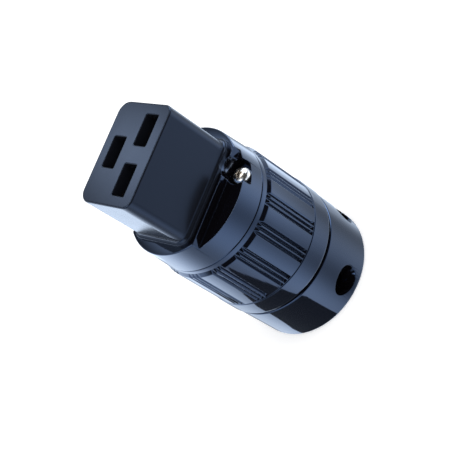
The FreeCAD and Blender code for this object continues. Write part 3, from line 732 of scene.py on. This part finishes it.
class CONNECTOR_OT_sleeve(bpy.types.Operator):
    """Make the rear sleeve with the bores to the clamp screws"""
    bl_idname = "connector.sleeve"
    bl_label = "Sleeve"

    def execute(self, context):
        settings = context.scene.connector
        sleeve, barrel = settings.sleeve, settings.barrel
        bm = turned([
            (sleeve.entry_radius, 0, sleeve.entry_round),
            (sleeve.rear_radius, 0, sleeve.end_round),
            (sleeve.front_radius, sleeve.length, sleeve.front_round),
            (sleeve.neck_radius, sleeve.length, 0),
            (sleeve.neck_radius, barrel.rear, 0),
            (sleeve.spigot_radius, barrel.rear, 0),
            (sleeve.spigot_radius, sleeve.bead_low, 0),
            (sleeve.spigot_radius + sleeve.bead_height, sleeve.bead_low, EDGE),
            (sleeve.spigot_radius, sleeve.bead_low + sleeve.bead_width, 0),
            (sleeve.spigot_radius, sleeve.spigot_front, EDGE),
            (sleeve.bore_radius, sleeve.spigot_front, EDGE),
            (sleeve.bore_radius, sleeve.end_wall, 0),
            (sleeve.entry_radius, sleeve.end_wall, 0),
        ], steps=BARREL_STEPS)
        piece = add_object("rear_sleeve_shell", bm)
        bores = bmesh.new()
        reach = sleeve.front_radius + PAST
        for side in (1, -1):
            place = Matrix.Translation(((sleeve.access_start + reach) / 2, side * sleeve.clamp_offset,
                                        sleeve.access_height)) @ Matrix.Rotation(math.pi / 2, 4, "Y")
            bmesh.ops.create_cone(bores, cap_ends=True, segments=96, radius1=sleeve.access_radius,
                                  radius2=sleeve.access_radius, depth=reach - sleeve.access_start,
                                  matrix=Matrix.Rotation(settings.screws.turn, 4, "Z") @ place)
        combine(piece, bores)
        # only the bores' rims on the outside
        soften(piece, sleeve.access_round, within=lambda middle: PAST < middle.z < sleeve.length - PAST
               and math.hypot(middle.x, middle.y) > sleeve.bore_radius + PAST)
        finish(piece, gloss_polyamide(settings.finishes), "rear_sleeve")
        return {"FINISHED"}


# Pan head from its side to its top: share of its radius, drop below the top and rounding in millimetres
HEAD_DOME = ((1.0, 1.25, 0.4), (0.88, 0.7, 0.3), (0.64, 0.26, 0.3), (0.3, 0.0, 0.3))
HEAD_SEAT_ROUND = 0.12 * MM
SCREW_STEPS = 64
# What a recess's bottom keeps of the length and width of its arms
RECESS_TAPER = (0.5, 0.62, 1.0)
# Tip of the shank: what it keeps of the core's radius, and its length
TIP_SHARE = 0.7
TIP_LENGTH = 0.4 * MM
# Thread: its depth and half its foot as shares of the pitch, steps in a turn, and how far it stays
# from the tip and from the head
THREAD_DEPTH = 0.6
THREAD_FOOT = 0.4
THREAD_STEPS = 24
THREAD_START = 0.3 * MM
THREAD_END = 0.8 * MM


class CONNECTOR_OT_screws(bpy.types.Operator):
    """Make the two body screws and the two clamp screws"""
    bl_idname = "connector.screws"
    bl_label = "Screws"

    def execute(self, context):
        settings = context.scene.connector
        screws, sleeve, finishes = settings.screws, settings.sleeve, settings.finishes
        nickel = worked_metal("nickel plate, bright", finishes.nickel, 0.26, 0.08, 0.4 * MM, 0.3)
        zinc = worked_metal("zinc plate, passivated", finishes.zinc, 0.32, 0.1, 0.25 * MM, 0.4)
        for side, half_turn in (("right", 0.0), ("left", math.pi)):
            x, y = polar(screws.body_place, screws.turn + half_turn)
            place = Matrix.Translation((x, y, screws.body_seat))
            self.screw("body_screw_pan_" + side, screws.body_head_radius, screws.body_head_height,
                       screws.body_grip, screws.body_shank_radius, screws.body_pitch,
                       place @ Matrix.Rotation(screws.body_recess_turn, 4, "Z"),
                       nickel, "nickel_screw", "body_screw_" + side)
        for side, offset in (("right", sleeve.clamp_offset), ("left", -sleeve.clamp_offset)):
            place = Matrix.Rotation(screws.turn, 4, "Z") @ Matrix.Translation(
                (screws.clamp_seat, offset, sleeve.access_height)) @ Matrix.Rotation(math.pi / 2, 4, "Y")
            self.screw("clamp_screw_pan_" + side, screws.clamp_head_radius, screws.clamp_head_height,
                       screws.clamp_length, screws.clamp_shank_radius, screws.clamp_pitch,
                       place, zinc, "zinc_steel", "clamp_screw_" + side)
        return {"FINISHED"}

    def screw(self, name, head_radius, head_height, grip, thread_radius, pitch, place, material, slot, node):
        """Pan-head screw with a cross recess and a rolled thread, its seat at the origin, then placed."""
        screws = bpy.context.scene.connector.screws
        core = thread_radius - THREAD_DEPTH * pitch
        bm = turned([
            (0, -grip, 0),
            (core * TIP_SHARE, -grip, EDGE),
            (core, -grip + TIP_LENGTH, EDGE),
            (core, 0, 0),
            (head_radius, 0, HEAD_SEAT_ROUND),
            *((head_radius * share, head_height - drop * MM, rounding * MM)
              for share, drop, rounding in HEAD_DOME),
            (0, head_height, 0),
        ], steps=SCREW_STEPS)
        piece = add_object(name, bm)
        half, thick = screws.recess_length / 2, screws.recess_width / 2
        for across in (0.0, math.pi / 2):
            arm = bmesh.new()
            block(arm, (-half, -thick, head_height - screws.recess_depth), (half, thick, head_height + PAST))
            bottom = [vert for vert in arm.verts if vert.co.z < head_height]
            bmesh.ops.scale(arm, verts=bottom, vec=RECESS_TAPER)
            bmesh.ops.rotate(arm, verts=arm.verts, cent=(0, 0, 0), matrix=Matrix.Rotation(across, 3, "Z"))
            combine(piece, arm)
        soften(piece, EDGE / 2, within=lambda middle: middle.z > head_height - screws.recess_depth / 2)
        shaft = bmesh.new()
        shaft.from_mesh(piece.data)
        self.thread(shaft, core, thread_radius, pitch, -grip + THREAD_START, -THREAD_END)
        bmesh.ops.transform(shaft, matrix=place, verts=shaft.verts)
        shaft.to_mesh(piece.data)
        shaft.free()
        finish(piece, material, node)

    def thread(self, bm, core, radius, pitch, low, high):
        """V-shaped ridge wound round a core, closed at both ends."""
        turns = (high - low) / pitch - 1
        foot, root = THREAD_FOOT * pitch, core - EDGE / 2
        corners = [bm.verts.new(place) for place in ((root, 0, low), (radius, 0, low + foot),
                                                     (root, 0, low + 2 * foot))]
        start = bm.faces.new(corners)
        grown = bmesh.ops.extrude_face_region(bm, geom=[start] + start.edges[:] + start.verts[:])["geom"]
        end = next(item for item in grown if isinstance(item, bmesh.types.BMFace))
        steps = round(turns * THREAD_STEPS)
        angle = math.tau / THREAD_STEPS
        step_up = (0, 0, pitch / THREAD_STEPS)
        verts = [item for item in grown if isinstance(item, bmesh.types.BMVert)]
        bmesh.ops.rotate(bm, verts=verts, cent=(0, 0, 0), matrix=Matrix.Rotation(angle, 3, "Z"))
        bmesh.ops.translate(bm, verts=verts, vec=step_up)
        bmesh.ops.spin(bm, geom=[end] + end.edges[:] + end.verts[:], cent=(0, 0, 0), axis=(0, 0, 1),
                       dvec=step_up, angle=angle * (steps - 1), steps=steps - 1)


class CONNECTOR_OT_inner_finishes(bpy.types.Operator):
    """Give the CAD's inner pieces their finishes"""
    bl_idname = "connector.inner_finishes"
    bl_label = "Inner finishes"

    def execute(self, context):
        finishes = context.scene.connector.finishes
        jaw_plastic = matt_polyamide(finishes)
        sheet = worked_metal("copper alloy sheet, rolled and stamped", finishes.contact,
                             0.26, 0.06, 0.2 * MM, 0.3, (1.0, 1.0, 0.08))
        drawn_brass = worked_metal("brass, drawn and milled", finishes.brass,
                                   0.3, 0.08, 0.15 * MM, 0.4, (1.0, 1.0, 0.1))
        turned_brass = worked_metal("brass, turned", finishes.brass,
                                    0.24, 0.08, 0.12 * MM, 0.4, (0.1, 0.1, 1.0))
        screw_zinc = worked_metal("zinc plate, passivated", finishes.zinc, 0.32, 0.1, 0.25 * MM, 0.4)
        nut_zinc = worked_metal("zinc plate, barrel plated", finishes.zinc, 0.38, 0.1, 0.3 * MM, 0.4)
        looks = {"contact_retainer": moulded_thermoset(finishes),
                 "clamp_jaw_fixed": jaw_plastic, "clamp_jaw_moving": jaw_plastic}
        for pole in ("line", "neutral", "earth"):
            looks[pole + "_contact"] = sheet
            looks[pole + "_terminal"] = drawn_brass
            looks[pole + "_terminal_screw"] = screw_zinc
        for side in ("right", "left"):
            looks["barrel_insert_" + side] = turned_brass
            looks["retainer_screw_" + side] = screw_zinc
            looks["clamp_nut_" + side] = nut_zinc
        for name, look in looks.items():
            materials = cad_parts[name].data.materials
            materials.clear()
            materials.append(look)
        return {"FINISHED"}


# Stage

# Cards that only the gloss sees: height above the floor, brightness, and corners in X and Y, in millimetres
CARDS = {
    # painted shadow: the dark card stands for the connector's own shadow on the floor, as its gloss mirrors
    # it
    "painted_shadow_card": (0.4, 0.18, ((17.4, 6.3), (20, 3.8), (34.5, -4), (46, -3.5), (58, 20), (38, 25), (20, 23),
                               (9.8, 15.7))),
    "pale_card": (0.4, 1.2, ((-17, 8), (-17, -16), (-34, -16), (-34, 8))),
    "bright_card": (0.4, 2.8, ((12, -67), (20, -113), (61, -98), (37, -57))),
    "overhead_lamp": (300, 7.0, ((-165, -36), (125, -114), (141, -52), (-148, 26))),
}
# Painted shade over the floor, seen only in the gloss: grey see-through discs that darken the floor's
# reflection near the connector's base, where its own shade falls. X, Y and height of the middle, radius,
# radius of the evenly dark middle in millimetres, and the share of light that the middle lets through
PAINTED_SHADE_DISCS = {
    "painted_shade_left": (-18, 16, 0.3, 42, 8, 0.55),
    "painted_shade_right": (26, -10, 0.35, 30, 6, 0.72),
}
# Round lamp that the nose's front face mirrors: the point of that face it is centred on, its distance and
# radius, the radius over which it fades, all in millimetres, and its brightness in the middle and outside
FRONT_LAMP_SEEN = (1, 7.5, 73.3)
FRONT_LAMP_AWAY = 150
FRONT_LAMP_RADIUS = 70
FRONT_LAMP_FADE = 35
FRONT_LAMP_LEVELS = (7.0, 0.2)
# Soft edges in the tent, as cosines of the angle from the middle of a part, or as heights of a direction
OPENING_EDGE = (-0.25, 0.1)
HORIZON_EDGE = (-0.03, 0.06)
GAP_EDGE = (0.84, 0.97)
STRIP_SIDE_EDGE = (0.82, 0.94)
STRIP_TOP_EDGE = (0.16, 0.28)


class CONNECTOR_OT_stage(bpy.types.Operator):
    """Set up the floor, the studio light and the camera"""
    bl_idname = "connector.stage"
    bl_label = "Stage"

    def execute(self, context):
        stage = context.scene.connector.stage
        context.scene.view_settings.view_transform = "Standard"
        self.floor(stage)
        self.cards(stage)
        self.world(context, stage)
        self.lamp(stage)
        camera = bpy.data.objects.new("camera", bpy.data.cameras.new("camera"))
        camera.data.lens = stage.camera_lens
        camera.data.sensor_width = 36
        camera.data.clip_start = 0.01
        camera.location = stage.camera_place
        camera.rotation_euler = Euler(stage.camera_turn, "XYZ")
        context.scene.collection.objects.link(camera)
        context.scene.camera = camera
        return {"FINISHED"}

    def floor(self, stage):
        """White sweep: a matt surface that takes the shadow and looks white to the camera."""
        bm = bmesh.new()
        bmesh.ops.create_circle(bm, cap_ends=True, segments=96, radius=stage.floor_radius)
        floor = add_object("floor", bm)
        material, tree, output = new_material("white paper sweep")
        path = add_node(tree, "ShaderNodeLightPath")
        seen = add_node(tree, "ShaderNodeMath", {"operation": "MAXIMUM"},
                        {0: path.outputs["Is Camera Ray"], 1: path.outputs["Is Transmission Ray"]})
        lift = add_node(tree, "ShaderNodeMath", {"operation": "MULTIPLY", 1: stage.floor_lift},
                        {0: seen.outputs[0]})
        paper = add_node(tree, "ShaderNodeBsdfDiffuse", {"Color": stage.floor})
        glow = add_node(tree, "ShaderNodeEmission", {"Color": stage.floor}, {"Strength": lift.outputs[0]})
        both = add_node(tree, "ShaderNodeAddShader", None, {0: paper.outputs[0], 1: glow.outputs[0]})
        tree.links.new(both.outputs[0], output.inputs["Surface"])
        floor.data.materials.append(material)
        floor.visible_glossy = False

    def card(self, name, bm, material):
        """Card that only the gloss of the connector sees."""
        card = add_object(name, bm)
        card.data.materials.append(material)
        card.visible_camera = False
        card.visible_diffuse = False
        card.visible_shadow = False
        card.visible_transmission = False

    def glow(self, name, colour, strength):
        """Material that only shines, evenly or as a linked socket says."""
        material, tree, output = new_material(name)
        shine = add_node(tree, "ShaderNodeEmission", {"Color": colour, "Strength": strength})
        tree.links.new(shine.outputs[0], output.inputs["Surface"])
        return material, tree, shine

    def fade(self, tree, centre, inner, outer, low, high):
        """Value that goes from low to high between two distances from a centre."""
        place = add_node(tree, "ShaderNodeTexCoord").outputs["Object"]
        away = add_node(tree, "ShaderNodeVectorMath", {"operation": "DISTANCE", 1: tuple(centre)}, {0: place})
        return add_node(tree, "ShaderNodeMapRange", {
            "interpolation_type": "SMOOTHSTEP", "From Min": inner, "From Max": outer, "To Min": low,
            "To Max": high}, {"Value": away.outputs["Value"]}).outputs[0]

    def cards(self, stage):
        """Glowing cards, a dark card of painted shadow and discs of painted shade over the floor round the
        connector, all seen only in its gloss, and the round lamp that its nose mirrors.
        """
        for name, (height, level, corners) in CARDS.items():
            bm = bmesh.new()
            bm.faces.new([bm.verts.new((x * MM, y * MM, height * MM)) for x, y in corners])
            tint = linear("#ffffff") if name == "overhead_lamp" else stage.tent
            self.card(name, bm, self.glow(name.replace("_", " "), tint, level)[0])

        for name, (x, y, height, radius, inner, least) in PAINTED_SHADE_DISCS.items():
            centre = Vector((x * MM, y * MM, height * MM))
            bm = bmesh.new()
            bmesh.ops.create_circle(bm, cap_ends=True, segments=64, radius=radius * MM,
                                    matrix=Matrix.Translation(centre))
            material, tree, output = new_material(name)
            # painted shade: each disc darkens the floor's reflection most in its middle, where the
            # connector's shade falls, and fades out to its rim
            let = self.fade(tree, centre, inner * MM, radius * MM, least, 1.0)
            clear = add_node(tree, "ShaderNodeBsdfTransparent", None, {"Color": let})
            tree.links.new(clear.outputs[0], output.inputs["Surface"])
            self.card(name, bm, material)

        seen = Vector([c * MM for c in FRONT_LAMP_SEEN])
        towards = (seen - Vector(stage.camera_place)).normalized()
        towards.z = -towards.z
        centre = seen + towards * FRONT_LAMP_AWAY * MM
        bm = bmesh.new()
        bmesh.ops.create_circle(bm, cap_ends=True, segments=64, radius=FRONT_LAMP_RADIUS * MM,
                                matrix=Matrix.LocRotScale(centre, towards.to_track_quat("Z", "Y"), None))
        material, tree, shine = self.glow("soft lamp front", stage.tent, 1.0)
        level = self.fade(tree, centre, 0.0, FRONT_LAMP_FADE * MM, *FRONT_LAMP_LEVELS)
        tree.links.new(level, shine.inputs["Strength"])
        self.card("lamp_front", bm, material)

    def world(self, context, stage):
        """Square light tent: lit walls with dimmer corners and one dark gap, a lit roof behind, two strip
        lamps, and a dark opening that the camera looks in through. Matt surfaces get its light evenly;
        the gloss sees its parts."""
        world = bpy.data.worlds.new("light tent")
        world.use_nodes = True
        world.node_tree.nodes.clear()
        tree = world.node_tree

        direction = add_node(tree, "ShaderNodeTexCoord").outputs["Object"]
        parts = add_node(tree, "ShaderNodeSeparateXYZ", None, {"Vector": direction}).outputs
        azimuth = add_node(tree, "ShaderNodeMath", {"operation": "ARCTAN2"}, {0: parts["Y"], 1: parts["X"]})

        # four walls, so four waves in a full turn
        from_wall = add_node(tree, "ShaderNodeMath", {"operation": "SUBTRACT", 1: stage.wall_turn},
                             {0: azimuth.outputs[0]})
        four_times = add_node(tree, "ShaderNodeMath", {"operation": "MULTIPLY", 1: 4.0},
                              {0: from_wall.outputs[0]})
        wave = add_node(tree, "ShaderNodeMath", {"operation": "COSINE"}, {0: four_times.outputs[0]})
        walls = add_node(tree, "ShaderNodeMath", {"operation": "MULTIPLY_ADD", 1: stage.wall_swing,
                                                  2: stage.wall_level}, {0: wave.outputs[0]})
        from_lean = add_node(tree, "ShaderNodeMath", {"operation": "SUBTRACT", 1: stage.lean_turn},
                             {0: azimuth.outputs[0]})
        lean_side = add_node(tree, "ShaderNodeMath", {"operation": "COSINE"}, {0: from_lean.outputs[0]})
        lean = add_node(tree, "ShaderNodeMath", {"operation": "MAXIMUM", 1: 0.0}, {0: lean_side.outputs[0]})
        leaning = add_node(tree, "ShaderNodeMath", {"operation": "MULTIPLY_ADD", 1: stage.wall_lean},
                           {0: lean.outputs[0], 2: walls.outputs[0]})

        from_gap = add_node(tree, "ShaderNodeMath", {"operation": "SUBTRACT", 1: stage.gap_turn},
                            {0: azimuth.outputs[0]})
        gap_side = add_node(tree, "ShaderNodeMath", {"operation": "COSINE"}, {0: from_gap.outputs[0]})
        gap = add_node(tree, "ShaderNodeMapRange",
                       {"interpolation_type": "SMOOTHSTEP", "From Min": GAP_EDGE[0], "From Max": GAP_EDGE[1],
                        "To Min": 1.0, "To Max": stage.gap_level}, {"Value": gap_side.outputs[0]})
        lit_walls = add_node(tree, "ShaderNodeMath", {"operation": "MULTIPLY"},
                             {0: leaning.outputs[0], 1: gap.outputs[0]})

        opening = (math.cos(stage.opening_turn), math.sin(stage.opening_turn), 0.0)
        facing = add_node(tree, "ShaderNodeVectorMath", {"operation": "DOT_PRODUCT", 1: opening},
                          {0: direction})
        roof = add_node(tree, "ShaderNodeMapRange",
                        {"interpolation_type": "SMOOTHSTEP", "From Min": OPENING_EDGE[0],
                         "From Max": OPENING_EDGE[1], "To Min": stage.roof_back, "To Max": stage.roof_front},
                        {"Value": facing.outputs["Value"]})
        height = add_node(tree, "ShaderNodeMapRange",
                          {"interpolation_type": "SMOOTHSTEP", "From Min": HORIZON_EDGE[0],
                           "From Max": HORIZON_EDGE[1]}, {"Value": parts["Z"]})
        tent_level = add_node(tree, "ShaderNodeMix", {"data_type": "FLOAT"},
                              {"Factor": height.outputs[0], "A": lit_walls.outputs[0], "B": roof.outputs[0]})

        # two strip lamps, one on each side of the connector
        level = tent_level.outputs[0]
        for turned_to, raised, strength in ((stage.strip_turn, stage.strip_height, stage.strip_level),
                                            (stage.side_strip_turn, stage.side_strip_height,
                                             stage.side_strip_level)):
            from_strip = add_node(tree, "ShaderNodeMath", {"operation": "SUBTRACT", 1: turned_to},
                                  {0: azimuth.outputs[0]})
            strip_side = add_node(tree, "ShaderNodeMath", {"operation": "COSINE"}, {0: from_strip.outputs[0]})
            across = add_node(tree, "ShaderNodeMapRange",
                              {"interpolation_type": "SMOOTHSTEP", "From Min": STRIP_SIDE_EDGE[0],
                               "From Max": STRIP_SIDE_EDGE[1]}, {"Value": strip_side.outputs[0]})
            above = add_node(tree, "ShaderNodeMath", {"operation": "SUBTRACT", 1: math.sin(raised)},
                             {0: parts["Z"]})
            off = add_node(tree, "ShaderNodeMath", {"operation": "ABSOLUTE"}, {0: above.outputs[0]})
            along = add_node(tree, "ShaderNodeMapRange",
                             {"interpolation_type": "SMOOTHSTEP", "From Min": STRIP_TOP_EDGE[0],
                              "From Max": STRIP_TOP_EDGE[1], "To Min": strength, "To Max": 0.0},
                             {"Value": off.outputs[0]})
            level = add_node(tree, "ShaderNodeMath", {"operation": "MULTIPLY_ADD"},
                             {0: across.outputs[0], 1: along.outputs[0], 2: level}).outputs[0]

        path = add_node(tree, "ShaderNodeLightPath")
        even = add_node(tree, "ShaderNodeBackground",
                        {"Color": linear("#ffffff"), "Strength": stage.sky_light})
        strength = add_node(tree, "ShaderNodeMath", {"operation": "MULTIPLY", 1: stage.tent_strength},
                            {0: level})
        tent = add_node(tree, "ShaderNodeBackground", {"Color": stage.tent},
                        {"Strength": strength.outputs[0]})
        both = add_node(tree, "ShaderNodeMixShader", None,
                        {0: path.outputs["Is Glossy Ray"], 1: even.outputs[0], 2: tent.outputs[0]})
        output = add_node(tree, "ShaderNodeOutputWorld")
        tree.links.new(both.outputs[0], output.inputs["Surface"])
        context.scene.world = world

    def lamp(self, stage):
        """Large soft lamp, high up on the camera's left."""
        data = bpy.data.lights.new("soft lamp", "AREA")
        data.shape = "DISK"
        data.size = stage.lamp_size
        data.energy = stage.key_light
        lamp = bpy.data.objects.new("soft lamp", data)
        lamp.location = stage.lamp_place
        away = lamp.location - Vector((0, 0, stage.lamp_aim))
        lamp.rotation_euler = away.to_track_quat("Z", "Y").to_euler()
        lamp.visible_glossy = False
        bpy.context.scene.collection.objects.link(lamp)


OPERATORS = (CONNECTOR_OT_nose, CONNECTOR_OT_flange, CONNECTOR_OT_barrel, CONNECTOR_OT_sleeve,
             CONNECTOR_OT_screws, CONNECTOR_OT_inner_finishes, CONNECTOR_OT_stage)


class CONNECTOR_PT_panel(bpy.types.Panel):
    """Lists the connector's pieces and stage"""
    bl_idname = "CONNECTOR_PT_panel"
    bl_label = "Round C19 connector"
    bl_space_type = "VIEW_3D"
    bl_region_type = "UI"
    bl_category = "Connector"

    def draw(self, context):
        for operator in OPERATORS:
            self.layout.operator(operator.bl_idname)


CLASSES = (NoseSizes, FlangeSizes, BarrelSizes, SleeveSizes, ScrewSizes, Finishes, StageSettings,
           ConnectorSettings) + OPERATORS + (CONNECTOR_PT_panel,)


def register():
    for cls in CLASSES:
        bpy.utils.register_class(cls)
    bpy.types.Scene.connector = PointerProperty(type=ConnectorSettings)


def unregister():
    del bpy.types.Scene.connector
    for cls in reversed(CLASSES):
        bpy.utils.unregister_class(cls)


def main():
    register()
    bpy.ops.connector.nose()
    bpy.ops.connector.flange()
    bpy.ops.connector.barrel()
    bpy.ops.connector.sleeve()
    bpy.ops.connector.screws()
    bpy.ops.connector.inner_finishes()
    bpy.ops.connector.stage()


if __name__ == "__main__":
    main()
